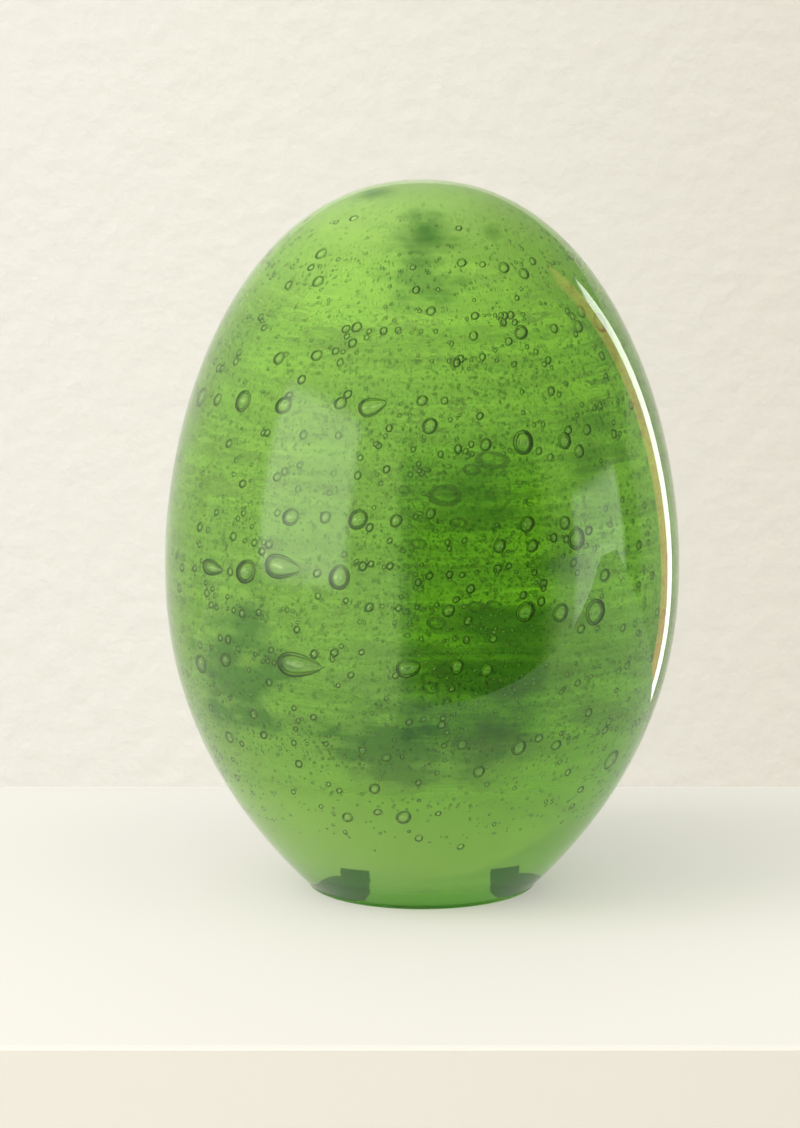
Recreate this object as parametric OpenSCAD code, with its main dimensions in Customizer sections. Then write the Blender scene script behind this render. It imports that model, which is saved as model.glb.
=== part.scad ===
// Glass dump weight: a solid ovoid of bottle-green glass that stands on its narrow end.
// It is made as a glassmaker makes it, from a seedy inner gather on the iron and a clear
// outer gather over it, with rows of air trapped between the two.
// The origin is the centre of the flat foot, and +Z runs up the axis.

/* [Body] */
// Height of the whole weight
height = 150; // [130:1:180]
// Largest diameter
girth_d = 108.6; // [100:0.2:120]
// Height at which the weight is widest
girth_height = 69; // [60:1:80]
// Diameter of the flat that the weight stands on
foot_d = 47.4; // [40:0.2:60]
// Radius worn along the edge of the foot
foot_edge_r = 0.6; // [0.3:0.1:2]

/* [Gathers] */
// Thickness of the clear outer gather over the inner one
casing_t = 8; // [7.6:0.1:12]
// Height of the underside of the inner gather, above its neck
core_floor = 20; // [14:1:26]
// Radius of the neck that joined the inner gather to the iron
neck_r = 11; // [6:0.5:14]
// Rounding where the neck meets the underside of the inner gather
neck_fillet = 4; // [2:0.5:6]
// Rise of the broken-off end of the neck above the foot
pontil_rise = 1; // [0.5:0.1:2]

/* [Bubbles] */
// Depth of a bubble's centre under the skin
bubble_depth = 4.6; // [4.4:0.1:4.8]
// How much a drawn-out bubble narrows towards its tail
tail_taper = 0.55; // [0.2:0.05:0.8]
// Length of the smallest bubble at the back
back_min = 1.4; // [1:0.1:2]
// How much longer the largest bubble at the back is
back_spread = 2; // [1:0.1:2.6]
// Drop of a row from one side of the gap behind the front bubbles to the other
row_drop = 3; // [0:0.5:4]

/* [Hidden] */
// Fullness of the two curves that make the outline, above and below the girth
crown_power = 1.88;
crown_root = 2.2;
taper_power = 2.17;
taper_root = 1.2;
// Depth at which the lower curve would close on the axis, below the girth
taper_depth = girth_height / pow(1 - pow(foot_d / girth_d, taper_root), 1 / taper_power);

crown_steps = 26;
taper_steps = 18;
edge_steps = 4;
drawn_steps = 12;
round_fn = 96;
ball_fn = 32;
slope_step = 0.05;
golden_ratio = 0.618;

// Rows of trapped air from the top down. Each has the bubbles along the front, which are
// given by azimuth (0 faces -Y, positive towards +X), height and diameter.
FRONT = [
    [[-49, 138.5, 2.5], [-42, 133.5, 2.5], [17, 138, 2], [26, 137.5, 1.5], [35, 136.5, 2.5],
     [43, 135, 2.5]],
    [[-21, 125.5, 2.2], [3, 129, 2], [16, 124, 2], [27, 122.5, 1.8], [32, 124, 3],
     [45, 124, 2], [56, 123.5, 2.5], [61, 126, 2.5], [69, 123, 4]],
    [[-45, 118, 2.6], [-32, 119.5, 2.4], [-24, 118.5, 1.6]],
    [[-77, 106.5, 4], [-66, 107.5, 2.6], [-54, 108.5, 4.2], [-39, 109, 3.6], [-22, 110.5, 2.6],
     [0, 111.5, 2.2], [6, 111.5, 1.6]],
    [[2, 106.5, 3.2], [16, 102.5, 2.5], [26, 102.5, 4.6], [30, 100.5, 1.6], [33, 99, 1.6],
     [38, 102, 3.2], [42, 99.5, 2.6], [46, 103.5, 2.2]],
    [[-32, 87, 3.6], [-23, 87.5, 2.4], [-15, 87.5, 4], [-6, 87.5, 2.6], [2, 89, 2.2],
     [25, 86, 3.2], [35, 85.5, 2.6]],
    [[18, 82, 2.8], [26, 81.5, 2.6], [38, 82, 4.2]],
    [[-44, 74.5, 4.9], [-19, 75.5, 4.7], [46, 73.5, 2.6]],
    [[6, 69, 2.6], [24, 68, 4], [33, 67, 3.6], [43, 66, 5]],
    [[-63, 52, 3.9], [-52, 54.5, 3], [8, 57, 3], [15, 56, 2.6]],
    [[-58, 36.5, 2.6], [-45, 43.5, 2.2], [-15, 38, 1.8], [-9, 36.5, 2], [10, 39.5, 2.2],
     [15, 33, 2.6], [25, 38, 3.2], [36, 37.5, 2.3], [61, 31, 4.2]],
    [[-23, 21.5, 2.4], [-13, 29, 2.4], [-1, 17, 1.8]],
];
// The drawn-out bubbles of each row: azimuth, height, length, width and the lean of the long
// axis above the horizontal, towards the tail.
DRAWN = [
    [],
    [],
    [],
    [[-13, 110.5, 5.8, 3.4, 20]],
    [],
    [],
    [],
    [[-33, 76.5, 8.3, 4.5, 0], [-55, 73.8, 7, 3, 0]],
    [],
    [[-29, 56, 10, 4.6, 0], [-3, 57, 5, 3.6, 15]],
    [],
    [[-5, 22.5, 3.6, 2.6, 60]],
];
// Mean height of each row behind, and how many bubbles it holds there
BACK_HEIGHT = [134, 124, 117, 109, 100, 87, 80, 74, 66, 56, 40, 28];
BACK_COUNT = [4, 6, 6, 7, 8, 8, 7, 7, 8, 7, 6, 4];
back_from = 82;
back_span = 196;

// Radius of the skin at height z
function skin_r(z) =
    z > girth_height
    ? girth_d / 2 * pow(max(0, 1 - pow((z - girth_height) / (height - girth_height), crown_power)),
                        1 / crown_root)
    : girth_d / 2 * pow(1 - pow((girth_height - z) / taper_depth, taper_power), 1 / taper_root);

// Angle of the skin's outward normal above the horizontal, at height z
function skin_tilt(z) = atan2(skin_r(z - slope_step) - skin_r(z + slope_step), 2 * slope_step);

// Heights at which the outline is drawn, closer together near the crown
function outline_heights(from) = concat(
    [for (i = [0 : taper_steps - 1]) from + (girth_height - from) * i / taper_steps],
    [for (i = [0 : crown_steps - 1])
        girth_height + (height - girth_height) * sin(90 * i / crown_steps)]);

// A point that lies a given depth under the skin, as [radius, height]
function under_skin(z, depth) =
    [skin_r(z) - depth * cos(skin_tilt(z)), z - depth * sin(skin_tilt(z))];

// The fraction of a whole number's multiples of the golden ratio, an even scatter from 0 to 1
function scatter(i) = i * golden_ratio - floor(i * golden_ratio);

// Outline of the whole weight
function body_outline() = concat(
    [[0, 0]],
    [for (i = [0 : edge_steps - 1])
        [skin_r(foot_edge_r) - foot_edge_r * (1 - sin(90 * i / edge_steps)),
         foot_edge_r * (1 - cos(90 * i / edge_steps))]],
    [for (z = outline_heights(foot_edge_r)) [skin_r(z), z]],
    [[0, height]]);

// Outline of the inner gather, from the end of its neck up to its crown
function core_outline() = concat(
    [[0, pontil_rise], [neck_r, pontil_rise]],
    [for (i = [0 : edge_steps])
        [neck_r + neck_fillet * (1 - cos(90 * i / edge_steps)),
         core_floor - neck_fillet * (1 - sin(90 * i / edge_steps))]],
    [for (z = outline_heights(core_floor + casing_t)) under_skin(z, casing_t)],
    [[0, height - casing_t]]);

// Places its children at a bubble's centre, with X along the skin's outward normal, Y level
// around the weight and Z up the skin
module under_skin_at(azimuth, z) {
    rotate([0, 0, azimuth - 90])
        translate([skin_r(z), 0, z])
            rotate([0, -skin_tilt(z), 0])
                translate([-bubble_depth, 0, 0])
                    children();
}

module round_bubble(azimuth, z, size) {
    under_skin_at(azimuth, z)
        sphere(d = size, $fn = ball_fn);
}

module drawn_bubble(azimuth, z, length, width, lean) {
    under_skin_at(azimuth, z)
        rotate([lean - 90, 0, 0])
            rotate_extrude($fn = round_fn)
                polygon([for (i = [0 : drawn_steps])
                    let (t = 180 * i / drawn_steps)
                    [width / 2 * sin(t) * (1 + tail_taper * cos(t)), -length / 2 * cos(t)]]);
}

module bubble_row(i) {
    color("palegreen") {
        for (b = FRONT[i])
            round_bubble(b[0], b[1], b[2]);
        for (b = DRAWN[i])
            drawn_bubble(b[0], b[1], b[2], b[3], b[4]);
        for (j = [0 : BACK_COUNT[i] - 1]) {
            step = (j + 0.5 * scatter(7 * i + 3 * j)) / BACK_COUNT[i];
            round_bubble(back_from + back_span * step, BACK_HEIGHT[i] + row_drop * (0.5 - step),
                         back_min + back_spread * pow(scatter(5 * i + 2 * j + 1), 2));
        }
    }
}

module core_gather() {
    color("olivedrab")
        rotate_extrude($fn = round_fn)
            polygon(core_outline());
}

module casing_gather() {
    color("mediumseagreen", 0.5)
        difference() {
            rotate_extrude($fn = round_fn)
                polygon(body_outline());
            rotate_extrude($fn = round_fn)
                polygon(core_outline());
            cylinder(r = neck_r, h = 2 * pontil_rise, center = true, $fn = round_fn);
            for (i = [0 : len(FRONT) - 1])
                bubble_row(i);
        }
}

casing_gather();
core_gather();
bubble_row(0);  // bubble_row_01
bubble_row(1);  // bubble_row_02
bubble_row(2);  // bubble_row_03
bubble_row(3);  // bubble_row_04
bubble_row(4);  // bubble_row_05
bubble_row(5);  // bubble_row_06
bubble_row(6);  // bubble_row_07
bubble_row(7);  // bubble_row_08
bubble_row(8);  // bubble_row_09
bubble_row(9);  // bubble_row_10
bubble_row(10);  // bubble_row_11
bubble_row(11);  // bubble_row_12
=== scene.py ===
"""Looks of a solid bottle-green glass dump weight with rows of trapped air bubbles."""
import math
import random

import bmesh
import bpy
import numpy as np
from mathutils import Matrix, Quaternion, Vector, noise


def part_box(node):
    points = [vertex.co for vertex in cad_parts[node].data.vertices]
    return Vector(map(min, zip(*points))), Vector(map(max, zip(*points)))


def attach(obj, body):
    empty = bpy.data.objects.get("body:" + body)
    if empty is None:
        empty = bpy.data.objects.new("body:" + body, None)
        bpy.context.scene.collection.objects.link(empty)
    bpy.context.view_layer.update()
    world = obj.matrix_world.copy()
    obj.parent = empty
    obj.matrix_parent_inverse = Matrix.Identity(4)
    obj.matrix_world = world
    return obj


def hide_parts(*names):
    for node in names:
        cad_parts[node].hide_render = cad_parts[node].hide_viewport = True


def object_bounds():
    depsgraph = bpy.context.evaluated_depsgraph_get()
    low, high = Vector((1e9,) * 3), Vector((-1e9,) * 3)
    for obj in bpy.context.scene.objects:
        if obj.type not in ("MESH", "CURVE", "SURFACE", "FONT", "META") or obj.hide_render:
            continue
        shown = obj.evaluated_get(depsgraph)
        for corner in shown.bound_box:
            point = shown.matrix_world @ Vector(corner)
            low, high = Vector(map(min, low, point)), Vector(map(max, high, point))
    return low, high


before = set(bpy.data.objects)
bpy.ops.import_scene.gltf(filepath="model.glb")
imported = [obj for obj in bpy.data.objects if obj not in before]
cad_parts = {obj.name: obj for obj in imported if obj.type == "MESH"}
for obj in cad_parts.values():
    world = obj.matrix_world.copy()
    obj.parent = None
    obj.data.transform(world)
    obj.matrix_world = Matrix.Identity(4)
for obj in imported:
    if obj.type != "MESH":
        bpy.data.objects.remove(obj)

CAD_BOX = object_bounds()
MM = 0.001

# ---------------------------------------------------------------- sizes of the weight, in metres
HEIGHT = CAD_BOX[1].z
GIRTH_R = CAD_BOX[1].x
GIRTH_Z = 0.069
FOOT_R = 0.0237
FOOT_EDGE_R = 0.6 * MM
PONTIL_R = 11 * MM
PONTIL_RISE = 1 * MM
CASING_T = 8 * MM
CORE_FLOOR = 20 * MM
CROWN_POWER, CROWN_ROOT = 1.88, 2.2
TAPER_POWER, TAPER_ROOT = 2.17, 1.2
TAPER_DEPTH = GIRTH_Z / (1 - (FOOT_R / GIRTH_R) ** TAPER_ROOT) ** (1 / TAPER_POWER)
# Below this radius a point of an outline is on the axis
ON_AXIS = 1e-7
# Half the height over which the slope of the skin is measured
SLOPE_STEP = 0.05 * MM


# ---------------------------------------------------------------- the outline
def skin_r(z):
    """Radius of the skin at height z."""
    if z > GIRTH_Z:
        up = min(1.0, (z - GIRTH_Z) / (HEIGHT - GIRTH_Z))
        return GIRTH_R * max(0.0, 1 - up ** CROWN_POWER) ** (1 / CROWN_ROOT)
    down = (GIRTH_Z - z) / TAPER_DEPTH
    return GIRTH_R * max(0.0, 1 - down ** TAPER_POWER) ** (1 / TAPER_ROOT)


def skin_normal(z):
    """Outward normal of the skin at height z, as (radial, up)."""
    low, high = max(0.0, z - SLOPE_STEP), min(HEIGHT, z + SLOPE_STEP)
    slope = (skin_r(low) - skin_r(high)) / (high - low)
    size = math.hypot(1, slope)
    return 1 / size, slope / size


def under_skin(z, depth):
    """The point a given depth under the skin, as (radius, height)."""
    out, up = skin_normal(z)
    return skin_r(z) - depth * out, z - depth * up


def outline_heights(low, rings):
    """Heights from low to the crown, closer together where the outline turns fastest."""
    half = rings // 2
    heights = [low + (GIRTH_Z - low) * i / half for i in range(half)]
    heights += [GIRTH_Z + (HEIGHT - GIRTH_Z) * math.sin(math.pi / 2 * i / half) for i in range(half)]
    return heights


def share_between(value, start, span):
    """How far value is from start to start + span, held from 0 to 1."""
    return min(1.0, max(0.0, (value - start) / span))


# ---------------------------------------------------------------- mesh helpers
def new_object(name, bm, smooth=True):
    """An object in the scene from a bmesh, with its faces turned outwards."""
    mesh = bpy.data.meshes.new(name)
    bmesh.ops.recalc_face_normals(bm, faces=bm.faces)
    bm.to_mesh(mesh)
    bm.free()
    if smooth:
        mesh.polygons.foreach_set("use_smooth", [True] * len(mesh.polygons))
    obj = bpy.data.objects.new(name, mesh)
    bpy.context.scene.collection.objects.link(obj)
    return obj


def join(bm, below, above):
    """Faces between two rings of vertices. A ring of one vertex is a tip."""
    sides = max(len(below), len(above))
    for i in range(sides):
        j = (i + 1) % sides
        corners = [below[i % len(below)], below[j % len(below)],
                   above[j % len(above)], above[i % len(above)]]
        bm.faces.new(list(dict.fromkeys(corners)))


def lathe(name, outline, sides):
    """A closed form turned from (radius, height) points, which start and end on the axis."""
    bm = bmesh.new()
    turns = [2 * math.pi * i / sides for i in range(sides)]
    rings = []
    for radius, z in outline:
        if radius < ON_AXIS:
            rings.append([bm.verts.new((0, 0, z))])
        else:
            rings.append([bm.verts.new((radius * math.cos(a), radius * math.sin(a), z)) for a in turns])
    for below, above in zip(rings, rings[1:]):
        join(bm, below, above)
    return new_object(name, bm)


def place_piece(piece, material, slot, *nodes):
    """Gives a piece of the weight its material and body, and hides the CAD nodes it stands for. The slot
    is not used.
    """
    piece.data.materials.append(material)
    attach(piece, "root")
    if nodes:
        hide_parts(*nodes)


# ---------------------------------------------------------------- node helpers
def new_material(name):
    """An empty node material, its tree and its output node."""
    mat = bpy.data.materials.new(name)
    mat.use_nodes = True
    tree = mat.node_tree
    tree.nodes.clear()
    return mat, tree, tree.nodes.new("ShaderNodeOutputMaterial")


def shader_node(tree, kind, **values):
    """A node with some of its sockets or settings set."""
    made = tree.nodes.new(kind)
    for name, value in values.items():
        socket = name.replace("_", " ")
        if socket in made.inputs:
            made.inputs[socket].default_value = value
        else:
            setattr(made, name, value)
    return made


def ramp(tree, source, low, high, to_low=0.0, to_high=1.0, smooth=True):
    """source mapped from low..high to to_low..to_high, and held outside."""
    made = tree.nodes.new("ShaderNodeMapRange")
    made.interpolation_type = "SMOOTHSTEP" if smooth else "LINEAR"
    for i, value in zip((1, 2, 3, 4), (low, high, to_low, to_high)):
        made.inputs[i].default_value = value
    tree.links.new(source, made.inputs[0])
    return made.outputs[0]


def maths(tree, what, a, b=None):
    """One sum on sockets or plain numbers."""
    made = tree.nodes.new("ShaderNodeMath")
    made.operation = what
    for socket, value in zip(made.inputs, (a, b)):
        if value is None:
            continue
        if isinstance(value, (int, float)):
            socket.default_value = value
        else:
            tree.links.new(value, socket)
    return made.outputs[0]


def times(tree, a, b):
    """The product of two sockets or plain numbers."""
    return maths(tree, "MULTIPLY", a, b)


def split(tree, vector):
    """The x, y and z of a vector socket."""
    made = tree.nodes.new("ShaderNodeSeparateXYZ")
    tree.links.new(vector, made.inputs[0])
    return made.outputs


def coordinates(tree, kind):
    """A socket of the place or the direction that is shaded."""
    return tree.nodes.new("ShaderNodeTexCoord").outputs[kind]


def colour_between(tree, share, first, second):
    """The colour that lies a given share of the way from first to second."""
    made = tree.nodes.new("ShaderNodeMix")
    made.data_type = "RGBA"
    tree.links.new(share, made.inputs["Factor"])
    made.inputs[6].default_value = first
    made.inputs[7].default_value = second
    return made.outputs[2]


def mix_shaders(tree, share, first, second):
    """The shader that is first where share is 0 and second where it is 1."""
    mix = tree.nodes.new("ShaderNodeMixShader")
    tree.links.new(share, mix.inputs[0])
    tree.links.new(first, mix.inputs[1])
    tree.links.new(second, mix.inputs[2])
    return mix.outputs[0]


def open_to_lamps(tree, shader, share):
    """shader, but lamps shine straight through share of it: Cycles can't aim a lamp round glass."""
    straight = shader_node(tree, "ShaderNodeBsdfTransparent", Color=(share, share, share, 1))
    path = tree.nodes.new("ShaderNodeLightPath")
    return mix_shaders(tree, path.outputs["Is Shadow Ray"], shader, straight.outputs[0])


def plain_material(name, colour, roughness):
    """One even paint, for the room."""
    mat = bpy.data.materials.new(name)
    mat.use_nodes = True
    shader = mat.node_tree.nodes["Principled BSDF"]
    shader.inputs["Base Color"].default_value = (*colour, 1)
    shader.inputs["Roughness"].default_value = roughness
    return mat


# ---------------------------------------------------------------- clear glass and its bubbles
GLASS_IOR = 1.5
GLASS_TINT = (0.68, 0.87, 0.10)
GLASS_DENSITY = 50.0
# The share of a lamp's light that passes straight through the skin and through a bubble's wall
GLASS_OPEN, AIR_OPEN = 0.98, 0.96
# The rims of bubbles, where a dark diffuse paints in shade: the facing value up to which they are
# clear, the one from which they are dark, and how dark
LARGE_RIM, FINE_RIM = (0.36, 0.60, 0.95), (0.25, 0.54, 0.92)
RIM_SHADE_COLOUR = (0.008, 0.035, 0.005, 1)


def glass_material():
    """Clear glass with a smooth skin, whose green comes from its depth."""
    mat, tree, out = new_material("bottle_glass")
    glass = shader_node(tree, "ShaderNodeBsdfGlass", IOR=GLASS_IOR, Roughness=0.0)
    tint = shader_node(tree, "ShaderNodeVolumeAbsorption", Color=(*GLASS_TINT, 1), Density=GLASS_DENSITY)
    tree.links.new(open_to_lamps(tree, glass.outputs[0], GLASS_OPEN), out.inputs["Surface"])
    tree.links.new(tint.outputs[0], out.inputs["Volume"])
    return mat


def air_material(name, clear_to, dark_from, darkness):
    """The wall of an air bubble in glass, which turns light away towards its rim, where a dark diffuse
    paints in more shade.
    """
    mat, tree, out = new_material(name)
    glass = shader_node(tree, "ShaderNodeBsdfGlass", IOR=GLASS_IOR, Roughness=0.0)
    # A dark diffuse: painted shade at the bubble's rim
    rim = shader_node(tree, "ShaderNodeBsdfDiffuse", Color=RIM_SHADE_COLOUR)
    edge = shader_node(tree, "ShaderNodeLayerWeight", Blend=0.5)
    share = ramp(tree, edge.outputs["Facing"], clear_to, dark_from, 0.0, darkness)
    wall = mix_shaders(tree, share, glass.outputs[0], rim.outputs[0])
    tree.links.new(open_to_lamps(tree, wall, AIR_OPEN), out.inputs["Surface"])
    return mat


# ---------------------------------------------------------------- the body
HOLLOW_STEPS, EDGE_STEPS, SKIN_RINGS, SKIN_SIDES = 6, 8, 180, 224
# Width of the slope round the pontil hollow
HOLLOW_LIP = 2 * PONTIL_RISE
# The faint waves that tooling leaves in the skin, which stay clear of the foot and the crown
WAVE_DEPTH, WAVE_LENGTH, WAVE_SQUASH = 0.06 * MM, 22 * MM, 1.6
WAVE_FROM, WAVE_FADE, WAVE_CROWN_FADE = 3 * MM, 12 * MM, 4 * MM


def body_outline():
    """Outline of the whole weight, from the middle of the pontil hollow to the crown."""
    outline = [(0, PONTIL_RISE), (PONTIL_R - HOLLOW_LIP, PONTIL_RISE)]
    for i in range(1, HOLLOW_STEPS + 1):
        down = (1 + math.cos(math.pi * i / HOLLOW_STEPS)) / 2
        outline.append((PONTIL_R - HOLLOW_LIP * (1 - i / HOLLOW_STEPS), PONTIL_RISE * down))
    edge = skin_r(FOOT_EDGE_R) - FOOT_EDGE_R
    for i in range(EDGE_STEPS):
        a = math.pi / 2 * i / EDGE_STEPS
        outline.append((edge + FOOT_EDGE_R * math.sin(a), FOOT_EDGE_R * (1 - math.cos(a))))
    outline += [(skin_r(z), z) for z in outline_heights(FOOT_EDGE_R, SKIN_RINGS)]
    outline.append((0, HEIGHT))
    return outline


def make_body():
    """The whole weight, with faint waves that only ever dip inwards."""
    body = lathe("glass_body", body_outline(), SKIN_SIDES)
    for vertex in body.data.vertices:
        x, y, z = vertex.co
        calm = share_between(z, WAVE_FROM, WAVE_FADE) * share_between(HEIGHT - z, 0, WAVE_CROWN_FADE)
        place = Vector((x, y, z * WAVE_SQUASH)) / WAVE_LENGTH
        dip = WAVE_DEPTH * calm * (0.5 + 0.5 * noise.noise(place))
        out, up = skin_normal(z)
        turn = math.atan2(y, x)
        vertex.co -= Vector((math.cos(turn) * out, math.sin(turn) * out, up)) * dip
    place_piece(body, glass_material(), "casing_glass", "casing_gather")


# ---------------------------------------------------------------- bubbles
# The lean of the round bubbles above the horizontal, and how far it and their taper vary
LEAN, ROW_LEAN_SPREAD, ROW_TAPER = math.radians(60), 0.35, 0.1
# Where the skin's normal is read for the highest bubbles, as a share of the height
CROWN_LIMIT = 0.985
# The glass left between a large bubble and the seeds round it
CLEARANCE = 0.8 * MM
BUBBLE_TURN, BUBBLE_RINGS = 20, 12
DRAWN_TURN, DRAWN_RINGS = 32, 24
# A CAD bubble counts as drawn out when the sides of its box differ by this share
DRAWN_TEST = 0.1
# A drawn bubble is long when it is this many times its width, and how much each sort narrows
LONG_RATIO, LONG_TAPER, SHORT_TAPER = 1.5, 0.4, 0.2
# Length, width and depth: of a drawn bubble over its CAD length, width and width, and of a round
# one over its size
DRAWN_SHAPE, ROUND_SHAPE = (1.0, 0.95, 0.75), (1.1, 0.92, 0.8)
# Vertices of a CAD mesh that agree to this many decimals of a metre are one
WELD_DECIMALS = 6


def loose_parts(node):
    """The vertices of each separate solid of a CAD node, as arrays."""
    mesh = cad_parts[node].data
    points = np.zeros(len(mesh.vertices) * 3)
    mesh.vertices.foreach_get("co", points)
    points = np.round(points.reshape(-1, 3), WELD_DECIMALS)
    keys, index = np.unique(points, axis=0, return_inverse=True)
    index = index.ravel()
    root = list(range(len(keys)))

    def find(i):
        while root[i] != i:
            root[i] = root[root[i]]
            i = root[i]
        return i

    for edge in mesh.edges:
        a, b = find(index[edge.vertices[0]]), find(index[edge.vertices[1]])
        if a != b:
            root[a] = b
    groups = {}
    for i in range(len(keys)):
        groups.setdefault(find(i), []).append(i)
    return [keys[members] for members in groups.values()]


def surface_frame(centre):
    """Unit vectors out of the skin, level round the weight and up the skin, near a point."""
    azimuth = math.atan2(centre[1], centre[0])
    out, up = skin_normal(min(HEIGHT * CROWN_LIMIT, max(MM, centre[2])))
    normal = Vector((math.cos(azimuth) * out, math.sin(azimuth) * out, up))
    level = Vector((-math.sin(azimuth), math.cos(azimuth), 0))
    return normal, level, normal.cross(level)


def add_bubble(bm, centre, sizes, lean, taper, turn=BUBBLE_TURN, rings=BUBBLE_RINGS):
    """One closed pocket. Its sizes are its length, its width and its depth into the glass."""
    length, width, depth = sizes
    normal, level, up = surface_frame(centre)
    along = level * math.cos(lean) + up * math.sin(lean)
    across = normal.cross(along)
    centre = Vector(centre)
    last = [bm.verts.new(centre - along * (length / 2))]
    for i in range(1, rings):
        t = math.pi * i / rings
        swell = math.sin(t) * (1 + taper * math.cos(t))
        place = centre - along * (length / 2 * math.cos(t))
        ring = [bm.verts.new(place + across * (width / 2 * swell * math.cos(2 * math.pi * k / turn))
                             + normal * (depth / 2 * swell * math.sin(2 * math.pi * k / turn)))
                for k in range(turn)]
        join(bm, last, ring)
        last = ring
    join(bm, last, [bm.verts.new(centre + along * (length / 2))])


def add_drawn_bubble(bm, points, centre):
    """A bubble along the long axis of a CAD bubble, narrower towards its tail."""
    spread = points - points.mean(0)
    _, axes = np.linalg.eigh(spread.T @ spread)
    length, width = np.ptp(spread @ axes[:, 2]), np.ptp(spread @ axes[:, 0])
    _, level, up = surface_frame(centre)
    axis = Vector(axes[:, 2])
    if axis.dot(level) < 0:
        axis = -axis
    lean = math.atan2(axis.dot(up), axis.dot(level))
    taper = LONG_TAPER if length > LONG_RATIO * width else SHORT_TAPER
    along, across, deep = DRAWN_SHAPE
    sizes = (length * along, width * across, width * deep)
    add_bubble(bm, centre, sizes, lean, taper, DRAWN_TURN, DRAWN_RINGS)


def finish_hollow(name, bm, air, *nodes):
    """Makes a piece of pockets in the glass. Its faces look inwards, because glass ends there."""
    obj = new_object(name, bm)
    obj.data.flip_normals()
    place_piece(obj, air, "trapped_air", *nodes)


def make_bubble_row(node, air, rng, large):
    """The bubbles of one CAD row. The round ones lean a little, each by its own amount.

    The space that each needs is added to large, as its centre and a radius.
    """
    bm = bmesh.new()
    for points in loose_parts(node):
        low, high = points.min(0), points.max(0)
        centre = (low + high) / 2
        size = (high - low).max()
        large.append((Vector(centre), size / 2 + CLEARANCE))
        if np.ptp(high - low) > DRAWN_TEST * size:
            add_drawn_bubble(bm, points, centre)
        else:
            lean = LEAN + rng.uniform(-ROW_LEAN_SPREAD, ROW_LEAN_SPREAD)
            taper = rng.uniform(-ROW_TAPER, ROW_TAPER)
            add_bubble(bm, centre, [size * k for k in ROUND_SHAPE], lean, taper)
    finish_hollow(node.replace("bubble", "air"), bm, air, node)


# ---------------------------------------------------------------- small seed bubbles
# Each mesh of seed: name, count, smallest and largest size in mm, how far the sizes lean to the
# small end, and the sides and rings of one bubble
SEED_GROUPS = [("small_seed", 1800, 0.72, 2.0, 1.9, 10, 6),
               ("fine_seed_1", 4000, 0.36, 0.8, 1.2, 6, 4),
               ("fine_seed_2", 4000, 0.36, 0.8, 1.2, 6, 4)]
# The lowest seed, the lowest later bead of a chain, the highest of both, and the heights
# between which the seeds away from the rows are scattered
SEED_LOW, SEED_CHAIN_LOW, SEED_TOP = 13 * MM, 18 * MM, HEIGHT - 3 * MM
SEED_BETWEEN = (14 * MM, HEIGHT - 3.2 * MM)
# The share of seeds that start a chain, the share that lie near a row, and how near
CHAINED, NEAR_ROWS, ROW_SPREAD = 0.05, 0.35, 3.5 * MM
# A chain's number of beads, their spacing in mm, how uneven it is, and their drift up or down
CHAIN_BEADS, CHAIN_STEP, CHAIN_UNEVEN, CHAIN_DRIFT = (3, 9), (1.3, 3.2), (0.6, 1.6), 0.45 * MM
# Limits the turn between the beads of a chain near the axis
LEAST_RADIUS = 10 * MM
# Depth under the skin in mm, how far the beads of a chain differ in it, and in their lean
SEED_DEPTH, SEED_DEPTH_SPREAD, SEED_LEAN_SPREAD = (3.0, 6.6), 0.4 * MM, 0.4


def seed_height(rows, rng):
    """A height for a seed: near one of the rows, or anywhere."""
    if rng.random() < NEAR_ROWS:
        z = rng.choice(rows) + rng.gauss(0, ROW_SPREAD)
    else:
        z = rng.uniform(*SEED_BETWEEN)
    return min(SEED_TOP, max(SEED_LOW, z))


def crowded(centre, large):
    """Whether a seed would lie in or against a large bubble."""
    spot = Vector(centre)
    return any((spot - place).length < reach for place, reach in large)


def make_seed(name, count, smallest, largest, power, rows, large, air, rng, turn, rings):
    """Many small bubbles under the skin, evenly scattered, a few of them in level chains."""
    bm = bmesh.new()
    made = 0
    while made < count:
        azimuth = rng.uniform(-math.pi, math.pi)
        chained = rng.random() < CHAINED
        z = seed_height(rows, rng)
        if rng.random() > skin_r(z) / GIRTH_R:
            continue
        beads = rng.randint(*CHAIN_BEADS) if chained else 1
        step = rng.uniform(*CHAIN_STEP) * MM / max(skin_r(z), LEAST_RADIUS)
        depth = rng.uniform(*SEED_DEPTH) * MM
        for _ in range(beads):
            size = smallest * (largest / smallest) ** (rng.random() ** power)
            deep = depth + rng.uniform(-SEED_DEPTH_SPREAD, SEED_DEPTH_SPREAD)
            radius, height = under_skin(z, deep)
            centre = (radius * math.sin(azimuth), -radius * math.cos(azimuth), height)
            lean = LEAN + rng.uniform(-SEED_LEAN_SPREAD, SEED_LEAN_SPREAD)
            if not crowded(centre, large):
                add_bubble(bm, centre, [size * k for k in ROUND_SHAPE], lean, 0, turn, rings)
                made += 1
            azimuth += step * rng.uniform(*CHAIN_UNEVEN)
            z = min(SEED_TOP, max(SEED_CHAIN_LOW, z + rng.uniform(-CHAIN_DRIFT, CHAIN_DRIFT)))
    finish_hollow(name, bm, air)


# ---------------------------------------------------------------- patterns of seed too fine to model
# Drawn-out noise: length and height of a feature, tilt, detail and seed
COARSE_STROKES, FINE_STROKES = (0.060, 0.0022, 0.03, 4, 3.1), (0.030, 0.0007, -0.04, 3, 7.7)
CORE_BILLOW, CASING_BILLOW = (0.009, 0.005, 0.0, 6, 1.3), (0.012, 0.006, 0.0, 6, 1.3)
SPECK_BANDS, PATCH_NOISE = (0.12, 0.006, 0.02, 3, 11.0), (0.003, 0.0006, 0.0, 2, 4.0)
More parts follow.
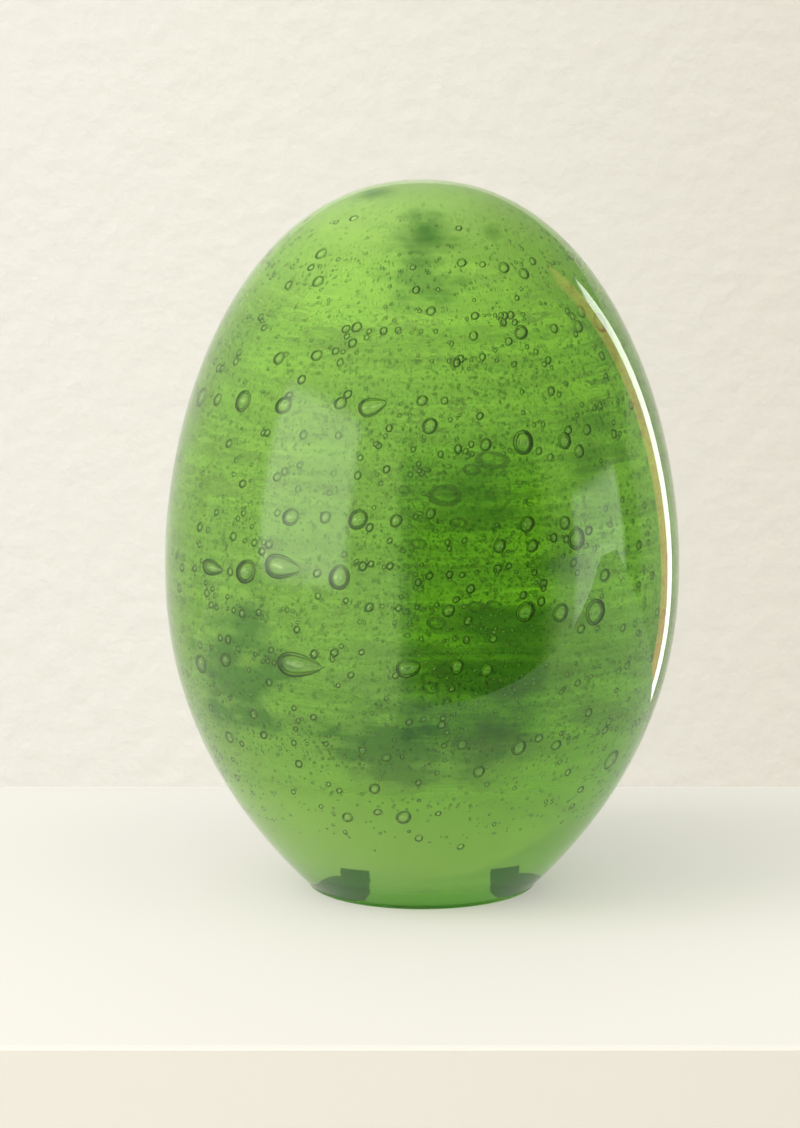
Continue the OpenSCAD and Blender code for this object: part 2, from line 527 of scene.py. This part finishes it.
# Specks: distance between them, their largest radius, the share of cells that hold one, and seed
CORE_DOTS = (1.1 * MM, 0.30 * MM, 0.5, 5.0)
CASING_DOTS, CASING_GRIT = (1.6 * MM, 0.40 * MM, 0.34, 2.0), (0.8 * MM, 0.24 * MM, 0.5, 8.0)
# The radius of the smallest speck over that of the largest
SMALLEST_SPECK = 0.45
# A speck's darkness by distance over its radius: the paler middle, and the soft edge
SPECK_MIDDLE, SPECK_EDGE = (0.15, 0.55, 0.45, 1.0), (0.8, 1.05, 1.0, 0.0)
PICK_SOFT = 0.02


def streaks(tree, place, across, up, tilt, detail, seed):
    """Noise drawn out level round the weight: a feature is `across` long and `up` high."""
    mapping = shader_node(tree, "ShaderNodeMapping", Location=(seed, seed * 2, seed * 3),
                          Rotation=(0, tilt, 0), Scale=(1 / across, 1 / across, 1 / up))
    tree.links.new(place, mapping.inputs["Vector"])
    made = shader_node(tree, "ShaderNodeTexNoise", Scale=1.0, Detail=detail, Roughness=0.6)
    tree.links.new(mapping.outputs[0], made.inputs["Vector"])
    return made.outputs["Fac"]


def unrolled(tree, place):
    """Place on the skin laid out flat: level distance round the weight, and height."""
    x, y, z = split(tree, place)
    turn = maths(tree, "ARCTAN2", x, times(tree, y, -1.0))
    flat = tree.nodes.new("ShaderNodeCombineXYZ")
    tree.links.new(times(tree, turn, GIRTH_R), flat.inputs[0])
    tree.links.new(z, flat.inputs[1])
    return flat.outputs[0]


def specks(tree, flat, spacing, radius, share, seed):
    """Small dark rings and dots, at most one to a cell, of mixed sizes, in a share of the cells."""
    mapping = shader_node(tree, "ShaderNodeMapping", Location=(seed, seed, 0), Scale=(1 / spacing,) * 3)
    tree.links.new(flat, mapping.inputs["Vector"])
    made = shader_node(tree, "ShaderNodeTexVoronoi", voronoi_dimensions="2D", Scale=1.0, Randomness=1.0)
    tree.links.new(mapping.outputs[0], made.inputs["Vector"])
    pick = tree.nodes.new("ShaderNodeSeparateColor")
    tree.links.new(made.outputs["Color"], pick.inputs[0])
    small, large = SMALLEST_SPECK * radius / spacing, radius / spacing
    size = ramp(tree, pick.outputs[1], 0.0, 1.0, small, large, smooth=False)
    reach = maths(tree, "DIVIDE", made.outputs["Distance"], size)
    rim = times(tree, ramp(tree, reach, *SPECK_MIDDLE), ramp(tree, reach, *SPECK_EDGE))
    chosen = ramp(tree, pick.outputs[0], share - PICK_SOFT, share, 1.0, 0.0, smooth=False)
    return times(tree, rim, chosen)


# Clouds of dense seed in the inner gather: azimuth in degrees, height and size in mm, and strength
CLOUDS = [(-52, 50, 16, 1.0), (-44, 61, 11, 0.8), (37, 77, 9, 0.5), (50, 100, 12, 0.5), (-8, 36, 14, 1.0),
          (17, 36, 10, 0.8), (-2, 139, 10, 1.0), (14, 92, 10, 0.45), (128, 84, 14, 0.8),
          (170, 46, 14, 0.8), (-142, 96, 12, 0.7), (-110, 40, 12, 0.7), (95, 44, 10, 0.6)]
# Clouds near the crown that reach up into the casing, in the same form
CROWN_CLOUDS = [(2, 144, 8, 0.8), (-60, 148.5, 5, 0.6), (40, 143, 3, 0.4)]
# In sizes of the cloud: how far noise shifts its edge, and where it starts and ends fading
CLOUD_RAGGED, CLOUD_FULL, CLOUD_GONE = 2.6, 1.3, 2.4


def cloud_mask(tree, place, wobble, clouds, depth_at):
    """Where the clouds lie, from 0 to 1, with ragged edges that fade out."""
    total = None
    for azimuth, height, size, strength in clouds:
        radius, z = under_skin(height * MM, depth_at(height * MM))
        a = math.radians(azimuth)
        far = shader_node(tree, "ShaderNodeVectorMath", operation="DISTANCE")
        tree.links.new(place, far.inputs[0])
        far.inputs[1].default_value = (radius * math.sin(a), -radius * math.cos(a), z)
        ragged = maths(tree, "ADD", far.outputs["Value"], times(tree, wobble, size * MM * CLOUD_RAGGED))
        here = ramp(tree, ragged, size * MM * CLOUD_FULL, size * MM * CLOUD_GONE, strength, 0.0)
        total = here if total is None else maths(tree, "MAXIMUM", total, here)
    return total


# The part of the front that holds little fine seed, on the skin laid out flat. Its darker green is
# partly painted shade.
WINDOW_LEFT, WINDOW_RIGHT = (-6.5 * MM, -4.0 * MM), (26 * MM, 34 * MM)
WINDOW_BELOW, WINDOW_ABOVE = (39 * MM, 43 * MM), (94 * MM, 108 * MM)
# How far noise shifts its edges
WINDOW_WANDER = 8 * MM


def thin_seed_and_shade(tree, strength, flat, ragged, share):
    """strength, less a share of it in the window, where the deep green of the glass shows: partly thinner
    seed, partly painted shade.
    """
    wander = times(tree, maths(tree, "SUBTRACT", ragged, 0.5), WINDOW_WANDER)
    place = split(tree, flat)
    across = maths(tree, "ADD", place[0], wander)
    up = maths(tree, "ADD", place[1], wander)
    level = times(tree, ramp(tree, across, *WINDOW_LEFT), ramp(tree, across, *WINDOW_RIGHT, 1.0, 0.0))
    upright = times(tree, ramp(tree, up, *WINDOW_BELOW), ramp(tree, up, *WINDOW_ABOVE, 1.0, 0.0))
    window = times(tree, level, upright)
    return times(tree, strength, maths(tree, "SUBTRACT", 1.0, times(tree, window, share)))


# ---------------------------------------------------------------- veils of fine seed
CORE_RINGS, CASING_RINGS, VEIL_SIDES = 90, 120, 160
# How far the middle of the core's underside hangs below its rim
CORE_DIP = 2 * MM
# Depth of the layer of fine seed in the casing, and near the crown and the foot. It changes above
# one height and below another, over the distance that follows each.
DEEP_SEED, SHALLOW_SEED = 6.9 * MM, 2.4 * MM
DEEP_UP_TO, DEEP_DOWN_TO = (138 * MM, 9 * MM), (26 * MM, 18 * MM)
# The height on the skin from which the layer is measured
VEIL_START = 2.6 * MM
# What a veil scatters and what it lets past, where it is pale and where it is dark
MILK, MURK = (0.60, 0.78, 0.34, 1), (0.02, 0.22, 0.012, 1)
PASS_CLEAR, PASS_MURK = (0.98, 1.0, 0.95, 1), (0.035, 0.22, 0.03, 1)
# What dots, grit and strokes take away at most, and the scatter that goes with it in the core
DOT_LOSS, GRIT_LOSS, STROKE_LOSS, MOST_LOSS, LOSS_MIST = 0.75, 0.55, 0.40, 0.9, 0.25
# Noise values between which strokes and bands of specks set in, the coarse strokes' share of all
# strokes, and the share of specks left between bands
STROKE_EDGES, COARSE_SHARE = (0.35, 0.65), 0.6
BAND_EDGES, BAND_LEAST = (0.38, 0.62), 0.5
# The share of light that each veil scatters, and the heights over which it changes
CORE_MIST, CORE_MIST_ENDS = 0.25, 0.40
CORE_TOP, CORE_LOW, CORE_START = (112 * MM, 138 * MM), (30 * MM, 52 * MM), (20.5 * MM, 34 * MM)
# The share of the core's scatter taken away in the window: partly thinner seed, partly painted shade
CORE_THIN_AND_SHADE = 0.78
CASING_MIST, CASING_MIST_TOP, CASING_MIST_LOW = 0.11, 0.30, 0.50
CASING_TOP, CASING_LOW, CASING_START = (116 * MM, 142 * MM), (20 * MM, 44 * MM), (2 * MM, 8 * MM)
# The share of the casing's scatter taken away in the window: partly thinner seed, partly painted shade
CASING_THIN_AND_SHADE = 0.9
CASING_SEEDED = (24 * MM, 38 * MM)


def core_depth(_):
    """Depth of the core's skin, the same at every height."""
    return CASING_T


def seed_depth(z):
    """Depth of the fine seed: just behind the bubbles, and nearer the skin past the last of them."""
    top, top_fade = DEEP_UP_TO
    low, low_fade = DEEP_DOWN_TO
    shallow = max(share_between(z, top, top_fade), share_between(-z, -low, low_fade))
    return DEEP_SEED + (SHALLOW_SEED - DEEP_SEED) * shallow


def connect_mist(tree, out, loss, strength):
    """Joins clear glass and milky scatter: loss darkens both, strength is the share of scatter."""
    clear = tree.nodes.new("ShaderNodeBsdfTransparent")
    tree.links.new(colour_between(tree, loss, PASS_CLEAR, PASS_MURK), clear.inputs["Color"])
    glow = colour_between(tree, loss, MILK, MURK)
    both = tree.nodes.new("ShaderNodeMixShader")
    for i, kind in enumerate(("ShaderNodeBsdfTranslucent", "ShaderNodeBsdfDiffuse")):
        scatter = tree.nodes.new(kind)
        tree.links.new(glow, scatter.inputs["Color"])
        tree.links.new(scatter.outputs[0], both.inputs[i + 1])
    veil = mix_shaders(tree, strength, clear.outputs[0], both.outputs[0])
    tree.links.new(veil, out.inputs["Surface"])


def mist_at(tree, z, middle, top, top_range, low, low_range):
    """The share of scatter at each height: one value in the middle, others at the ends."""
    extra_top = ramp(tree, z, *top_range, 0.0, top - middle)
    extra_low = ramp(tree, z, *low_range, low - middle, 0.0)
    return maths(tree, "ADD", maths(tree, "ADD", extra_top, extra_low), middle)


def core_veil_material():
    """The core's skin: level strokes and clouds of seed too fine to model, and less scatter in the
    window, which is partly painted shade.
    """
    mat, tree, out = new_material("seedy_core_glass_painted_shade")
    place = coordinates(tree, "Object")
    flat = unrolled(tree, place)
    z = split(tree, place)[2]
    billow = streaks(tree, place, *CORE_BILLOW)
    cloud = cloud_mask(tree, place, billow, CLOUDS, core_depth)
    dots = times(tree, specks(tree, flat, *CORE_DOTS), DOT_LOSS)
    coarse = ramp(tree, streaks(tree, place, *COARSE_STROKES), *STROKE_EDGES, 0.0, COARSE_SHARE)
    fine = ramp(tree, streaks(tree, place, *FINE_STROKES), *STROKE_EDGES, 0.0, 1 - COARSE_SHARE)
    stroke = times(tree, maths(tree, "ADD", coarse, fine), STROKE_LOSS)
    loss = maths(tree, "MAXIMUM", maths(tree, "ADD", stroke, cloud), dots)
    loss = maths(tree, "MINIMUM", loss, MOST_LOSS)
    strength = mist_at(tree, z, CORE_MIST, CORE_MIST_ENDS, CORE_TOP, CORE_MIST_ENDS, CORE_LOW)
    strength = thin_seed_and_shade(tree, strength, flat, billow, CORE_THIN_AND_SHADE)
    strength = maths(tree, "ADD", strength, times(tree, loss, LOSS_MIST))
    start = ramp(tree, z, *CORE_START)
    connect_mist(tree, out, times(tree, loss, start), times(tree, strength, start))
    return mat


# The dark patches at the foot, painted shade where the glass shows no daylight. They lie either side
# of a line a little right of the axis, and by distance from it there is where they start, how far
# the flat-topped part runs, and an arc.
PATCH_SHIFT, PATCH_RAGGED = 1.6 * MM, 0.9 * MM
PATCH_INNER, PATCH_STEP, PATCH_TOP = (11.9 * MM, 12.3 * MM), (17.8 * MM, 18.2 * MM), 10.7 * MM
ARC_MIDDLE, ARC_HALF, ARC_TOP = 17.6 * MM, 5.8 * MM, 8.4 * MM
# How far under its top a patch goes from clear to dark, and how dark its painted shade is
PATCH_EDGE, PATCH_SHADE = (-0.15 * MM, 0.3 * MM), 0.9
# The darker band along the bottom, which is painted shade too, and the flat under it that stays clear
BAND, BAND_SHADE, FLAT_CLEAR = (2.6 * MM, 3.6 * MM), 0.35, (1.2 * MM, 1.6 * MM)


def foot_shade(tree, place):
    """Painted shade: the dark patches at either side of the foot, where the glass shows no daylight."""
    x, _, z = split(tree, place)
    ragged = streaks(tree, place, *PATCH_NOISE)
    side = maths(tree, "ABSOLUTE", maths(tree, "SUBTRACT", x, PATCH_SHIFT))
    side = maths(tree, "ADD", side, times(tree, maths(tree, "SUBTRACT", ragged, 0.5), PATCH_RAGGED))
    arc = maths(tree, "DIVIDE", maths(tree, "SUBTRACT", side, ARC_MIDDLE), ARC_HALF)
    arc = maths(tree, "MAXIMUM", maths(tree, "SUBTRACT", 1.0, times(tree, arc, arc)), 0)
    arc = times(tree, maths(tree, "SQRT", arc), ARC_TOP)
    top = maths(tree, "MAXIMUM", ramp(tree, side, *PATCH_STEP, PATCH_TOP, 0.0), arc)
    under = ramp(tree, maths(tree, "SUBTRACT", top, z), *PATCH_EDGE)
    return times(tree, under, ramp(tree, side, *PATCH_INNER))


def casing_veil_material():
    """Fine seed in the casing itself, thickest towards the crown and the foot, with painted shade at the
    foot and, in part, on the darker front.
    """
    mat, tree, out = new_material("seedy_casing_glass_painted_shade")
    place = coordinates(tree, "Object")
    flat = unrolled(tree, place)
    z = split(tree, place)[2]
    band = ramp(tree, streaks(tree, place, *SPECK_BANDS), *BAND_EDGES, BAND_LEAST, 1.0)
    dots = times(tree, specks(tree, flat, *CASING_DOTS), DOT_LOSS)
    grit = times(tree, specks(tree, flat, *CASING_GRIT), GRIT_LOSS)
    seeded = times(tree, ramp(tree, z, *CASING_SEEDED), band)
    loss = times(tree, maths(tree, "MAXIMUM", dots, grit), seeded)
    billow = streaks(tree, place, *CASING_BILLOW)
    loss = maths(tree, "MAXIMUM", loss, cloud_mask(tree, place, billow, CROWN_CLOUDS, seed_depth))
    strength = mist_at(tree, z, CASING_MIST, CASING_MIST_TOP, CASING_TOP, CASING_MIST_LOW, CASING_LOW)
    strength = thin_seed_and_shade(tree, strength, flat, billow, CASING_THIN_AND_SHADE)
    # The painted shade at the foot: the dark patches and the band along the bottom
    shade = maths(tree, "MAXIMUM", times(tree, foot_shade(tree, place), PATCH_SHADE),
                  ramp(tree, z, *BAND, BAND_SHADE, 0.0))
    loss = times(tree, maths(tree, "MAXIMUM", loss, shade), ramp(tree, z, *FLAT_CLEAR))
    connect_mist(tree, out, loss, times(tree, strength, ramp(tree, z, *CASING_START)))
    return mat


def make_core_veil():
    """The skin of the inner gather, where its fine seed scatters light."""
    outline = [(0, CORE_FLOOR - CORE_DIP), (PONTIL_R, CORE_FLOOR)]
    outline += [under_skin(z, CASING_T) for z in outline_heights(CORE_FLOOR + CASING_T, CORE_RINGS)]
    outline.append((0, HEIGHT - CASING_T))
    veil = lathe("seedy_core", outline, VEIL_SIDES)
    place_piece(veil, core_veil_material(), "core_glass", "core_gather")


def make_casing_veil():
    """A layer of fine seed in the outer gather, which also carries the painted shade at the foot."""
    outline = [(0, PONTIL_RISE)]
    outline += [under_skin(z, seed_depth(z)) for z in outline_heights(VEIL_START, CASING_RINGS)]
    outline.append((0, HEIGHT - SHALLOW_SEED))
    veil = lathe("fine_seed_and_shade_layer", outline, VEIL_SIDES)
    place_piece(veil, casing_veil_material(), "casing_glass")


# ---------------------------------------------------------------- the pieces of the weight
RANDOM_SEED = 7
make_body()
make_core_veil()
make_casing_veil()
rng = random.Random(RANDOM_SEED)
air = air_material("trapped_air", *LARGE_RIM)
fine_air = air_material("fine_air", *FINE_RIM)
row_heights, large_bubbles = [], []
for node in sorted(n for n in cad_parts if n.startswith("bubble_row")):
    make_bubble_row(node, air, rng, large_bubbles)
    low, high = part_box(node)
    row_heights.append((low.z + high.z) / 2)
for name, count, smallest, largest, power, turn, rings in SEED_GROUPS:
    make_seed(name, count, smallest * MM, largest * MM, power, row_heights, large_bubbles, fine_air,
              rng, turn, rings)


# ---------------------------------------------------------------- the room
SHELF_FRONT, SHELF_BACK, SHELF_HALF, SHELF_T = -0.124, 0.088, 1.2, 0.05
# The gap keeps the shelf's top from coinciding with the foot
SHELF_GAP, SHELF_BEVEL, SHELF_BEVEL_STEPS = 0.05 * MM, 0.8 * MM, 3
# The front edge's colour is a paler copy of the shelf's paint: painted light on the front face
SHELF_COLOUR, EDGE_LIT_COLOUR, FLOOR_COLOUR = (0.245, 0.239, 0.222), (0.52, 0.50, 0.46), (0.55, 0.545, 0.51)
SHELF_ROUGHNESS, WALL_ROUGHNESS = 0.7, 0.8
SHELF_GLOW, SHELF_GLOW_COLOUR = 0.36, (1.0, 0.975, 0.90, 1)
WALL_Y, WALL_HALF, WALL_TOP, FLOOR_Z, FLOOR_HALF = 1.7, 4, 0.6, -1, 30
# The wall's paint, paler at the left and darker at the right: painted shade of light falling off across
# the wall
WALL_LEFT, WALL_RIGHT_SHADED = (0.50, 0.496, 0.468, 1), (0.44, 0.427, 0.39, 1)
WALL_SHADE_SPAN = (-0.25, 0.35)
PLASTER_SCALE, PLASTER_DETAIL, PLASTER_STRENGTH, PLASTER_DEPTH = 70.0, 4.0, 0.35, 0.004


def panel(name, corners, material):
    """A flat sheet of the room."""
    mesh = bpy.data.meshes.new(name)
    mesh.from_pydata(corners, [], [(0, 1, 2, 3)])
    mesh.materials.append(material)
    obj = bpy.data.objects.new(name, mesh)
    bpy.context.scene.collection.objects.link(obj)
    return obj


def shelf_paint():
    """Pale paint that glows a little, in place of light thrown back by walls close by."""
    paint = plain_material("pale_paint", SHELF_COLOUR, SHELF_ROUGHNESS)
    shader = paint.node_tree.nodes["Principled BSDF"]
    shader.inputs["Emission Color"].default_value = SHELF_GLOW_COLOUR
    shader.inputs["Emission Strength"].default_value = SHELF_GLOW
    return paint


def make_shelf():
    """The board that the weight stands on. Its front edge has a paler copy of the top's paint: painted
    light on the front face.
    """
    low = Vector((-SHELF_HALF, SHELF_FRONT, -SHELF_T))
    high = Vector((SHELF_HALF, SHELF_BACK, -SHELF_GAP))
    bm = bmesh.new()
    bmesh.ops.create_cube(bm, size=1)
    bmesh.ops.scale(bm, vec=high - low, verts=bm.verts)
    bmesh.ops.translate(bm, vec=(high + low) / 2, verts=bm.verts)
    shelf = new_object("shelf", bm, smooth=False)
    shelf.data.materials.append(shelf_paint())
    shelf.data.materials.append(plain_material("edge_paint_lit", EDGE_LIT_COLOUR, SHELF_ROUGHNESS))
    for face in shelf.data.polygons:
        face.material_index = 1 if face.normal.y < -0.5 else 0
    bevel = shelf.modifiers.new("edge", "BEVEL")
    bevel.width = SHELF_BEVEL
    bevel.segments = SHELF_BEVEL_STEPS


def wall_paint():
    """Paint that is a little darker to the right, as painted shade of light falling off from the left, on
    plaster with faint bumps.
    """
    mat = plain_material("wall_paint", WALL_LEFT[:3], WALL_ROUGHNESS)
    tree = mat.node_tree
    shader = tree.nodes["Principled BSDF"]
    place = coordinates(tree, "Object")
    # Painted shade towards the right
    dim = ramp(tree, split(tree, place)[0], *WALL_SHADE_SPAN)
    tree.links.new(colour_between(tree, dim, WALL_LEFT, WALL_RIGHT_SHADED), shader.inputs["Base Color"])
    plaster = shader_node(tree, "ShaderNodeTexNoise", Scale=PLASTER_SCALE, Detail=PLASTER_DETAIL)
    tree.links.new(place, plaster.inputs["Vector"])
    bump = shader_node(tree, "ShaderNodeBump", Strength=PLASTER_STRENGTH, Distance=PLASTER_DEPTH)
    tree.links.new(plaster.outputs["Fac"], bump.inputs["Height"])
    tree.links.new(bump.outputs[0], shader.inputs["Normal"])
    return mat


def make_wall_and_floor():
    """The wall behind the shelf and the floor below it."""
    y, w, top, z, f = WALL_Y, WALL_HALF, WALL_TOP, FLOOR_Z, FLOOR_HALF
    panel("wall", [(-w, y, z), (w, y, z), (w, y, top), (-w, y, top)], wall_paint())
    panel("floor", [(-f, -f, z), (f, -f, z), (f, y, z), (-f, y, z)],
          plain_material("floor_paint", FLOOR_COLOUR, WALL_ROUGHNESS))


# Brightness of the room at the horizon and overhead, and of its mirror image in the glass
WORLD_LOW, WORLD_HIGH, WORLD_MIRRORED = 0.65, 3.5, 0.85
WORLD_COLOUR = (1.0, 0.985, 0.93, 1)
# How the brightness changes along an axis of the direction: from one value of it to another, and
# the factor at each. The last is for the mirror image.
HORIZON_TO_HIGH, ZENITH, FRONT_TO_BACK = (0.12, 0.72), (0.86, 1.0, 1.0, 0.4), (-0.25, 0.25, 1.0, 0.45)
LEFT_TO_RIGHT, MIRROR_LEFT_TO_RIGHT = (-1.0, 1.0, 1.3, 0.7), (-1.0, 0.6, 1.0, 0.35)


def make_world():
    """A bright room: dim at the horizon, behind and to the right, bright overhead."""
    world = bpy.data.worlds.new("room")
    bpy.context.scene.world = world
    world.use_nodes = True
    tree = world.node_tree
    light = tree.nodes["Background"]
    light.inputs["Color"].default_value = WORLD_COLOUR
    x, y, z = split(tree, coordinates(tree, "Generated"))
    level = times(tree, ramp(tree, z, *HORIZON_TO_HIGH, WORLD_LOW, WORLD_HIGH), ramp(tree, z, *ZENITH))
    level = times(tree, level, ramp(tree, y, *FRONT_TO_BACK))
    level = times(tree, level, ramp(tree, x, *LEFT_TO_RIGHT, smooth=False))
    mirrored = times(tree, ramp(tree, x, *MIRROR_LEFT_TO_RIGHT), WORLD_MIRRORED)
    seen = tree.nodes.new("ShaderNodeMix")
    tree.links.new(tree.nodes.new("ShaderNodeLightPath").outputs["Is Glossy Ray"], seen.inputs["Factor"])
    tree.links.new(level, seen.inputs[2])
    tree.links.new(mirrored, seen.inputs[3])
    tree.links.new(seen.outputs[0], light.inputs["Strength"])


AIM = Vector((0, 0, HEIGHT / 2))
WARM_WHITE, STRIP_WHITE, STRIP_BROWN = (1, 0.98, 0.94), (1, 0.99, 0.95), (1.0, 0.27, 0.15)
# Each lamp: azimuth, elevation, distance, width, height, radiance, the share of its width over
# which each edge fades, colour, how far it leans, and the kinds of ray that don't see it
LAMPS = {
    "window_left": (-54, 12, 1.3, 1.2, 0.95, 2.4, 0.15, WARM_WHITE, 0, ()),
    "window_right": (85, -6, 1.5, 0.9, 0.85, 2.0, 0.12, WARM_WHITE, 0, ()),
    "strip_white": (140, 0, 1.0, 0.12, 0.95, 4.0, 0.06, STRIP_WHITE, 13, ("transmission", "diffuse")),
    "strip_brown": (131, 7, 1.0, 0.15, 1.2, 1.3, 0.06, STRIP_BROWN, 13, ("transmission", "diffuse")),
    "key": (-65, 42, 1.8, 1.3, 1.1, 9.0, 0.2, WARM_WHITE, 0, ("glossy", "transmission")),
}


def way_towards(azimuth, elevation):
    """Unit vector from the weight. Azimuth is 0 in front and positive to the right."""
    a, e = math.radians(azimuth), math.radians(elevation)
    return Vector((math.sin(a) * math.cos(e), -math.cos(a) * math.cos(e), math.sin(e)))


def softbox(name, azimuth, elevation, distance, width, height, radiance, edge, colour, lean, unseen):
    """An area light that shines at the weight and fades towards its edges."""
    way = way_towards(azimuth, elevation)
    lamp = bpy.data.lights.new(name, "AREA")
    lamp.shape = "RECTANGLE"
    lamp.size, lamp.size_y = width, height
    lamp.energy = radiance * width * height * math.pi
    lamp.color = colour
    lamp.use_nodes = True
    tree = lamp.node_tree
    place = split(tree, tree.nodes.new("ShaderNodeNewGeometry").outputs["Parametric"])
    fades = []
    for axis in (0, 1):
        middle = maths(tree, "ABSOLUTE", maths(tree, "SUBTRACT", place[axis], 0.5))
        fades.append(ramp(tree, middle, 0.5 - edge, 0.5, 1.0, 0.0))
    tree.links.new(times(tree, *fades), tree.nodes["Emission"].inputs["Strength"])
    obj = bpy.data.objects.new(name, lamp)
    obj.location = AIM + way * distance
    turn = Quaternion((0, 0, 1), math.radians(lean))
    obj.rotation_euler = ((-way).to_track_quat("-Z", "Y") @ turn).to_euler()
    obj.visible_camera = False
    for kind in unseen:
        setattr(obj, "visible_" + kind, False)
    bpy.context.scene.collection.objects.link(obj)


CARD_AZIMUTH, CARD_ELEVATION, CARD_DISTANCE = 27, -11, 1.2
CARD_HALF_W, CARD_HALF_H = 1.0, 0.75
# The share of each half that is solid. The rest fades out towards the edge.
CARD_SOLID_W, CARD_SOLID_H = 0.55, 0.5
CARD_COLOUR = (0.06, 0.058, 0.054, 1)


def make_shade_card():
    """A dark card, out of sight of the camera, that keeps one side of the room dim."""
    way = way_towards(CARD_AZIMUTH, CARD_ELEVATION)
    w, h = CARD_HALF_W, CARD_HALF_H
    mat, tree, out = new_material("shade")
    place = split(tree, coordinates(tree, "Object"))
    x = ramp(tree, maths(tree, "ABSOLUTE", place[0]), w * CARD_SOLID_W, w, 1.0, 0.0)
    y = ramp(tree, maths(tree, "ABSOLUTE", place[1]), h * CARD_SOLID_H, h, 1.0, 0.0)
    clear = tree.nodes.new("ShaderNodeBsdfTransparent")
    dark = shader_node(tree, "ShaderNodeBsdfDiffuse", Color=CARD_COLOUR)
    card_shader = mix_shaders(tree, times(tree, x, y), clear.outputs[0], dark.outputs[0])
    tree.links.new(card_shader, out.inputs["Surface"])
    card = panel("shade_card", [(-w, -h, 0), (w, -h, 0), (w, h, 0), (-w, h, 0)], mat)
    card.location = AIM + way * CARD_DISTANCE
    card.rotation_euler = (-way).to_track_quat("-Z", "Y").to_euler()
    card.visible_camera = False


make_shelf()
make_wall_and_floor()
make_world()
for lamp_name, settings in LAMPS.items():
    softbox(lamp_name, *settings)
make_shade_card()


# ---------------------------------------------------------------- the camera
CAMERA_DISTANCE = 1.0
CAMERA_ELEVATION = math.radians(10.67)
CAMERA_LENS, CAMERA_SENSOR, CAMERA_SHIFT_X = 151.2, 36, -0.0195
LOOK_Z = 0.0689
MAX_BOUNCES, MAX_TRANSPARENT = 14, 32


def make_camera():
    """The camera, in front of the weight and a little above it, looking down at it."""
    data = bpy.data.cameras.new("camera")
    data.sensor_width = CAMERA_SENSOR
    data.lens = CAMERA_LENS
    data.shift_x = CAMERA_SHIFT_X
    camera = bpy.data.objects.new("camera", data)
    camera.location = (0, -CAMERA_DISTANCE * math.cos(CAMERA_ELEVATION),
                       LOOK_Z + CAMERA_DISTANCE * math.sin(CAMERA_ELEVATION))
    camera.rotation_euler = (math.pi / 2 - CAMERA_ELEVATION, 0, 0)
    bpy.context.scene.collection.objects.link(camera)
    bpy.context.scene.camera = camera


make_camera()
scene = bpy.context.scene
scene.view_settings.view_transform = "Standard"
scene.cycles.max_bounces = MAX_BOUNCES
scene.cycles.transmission_bounces = MAX_BOUNCES
scene.cycles.transparent_max_bounces = MAX_TRANSPARENT
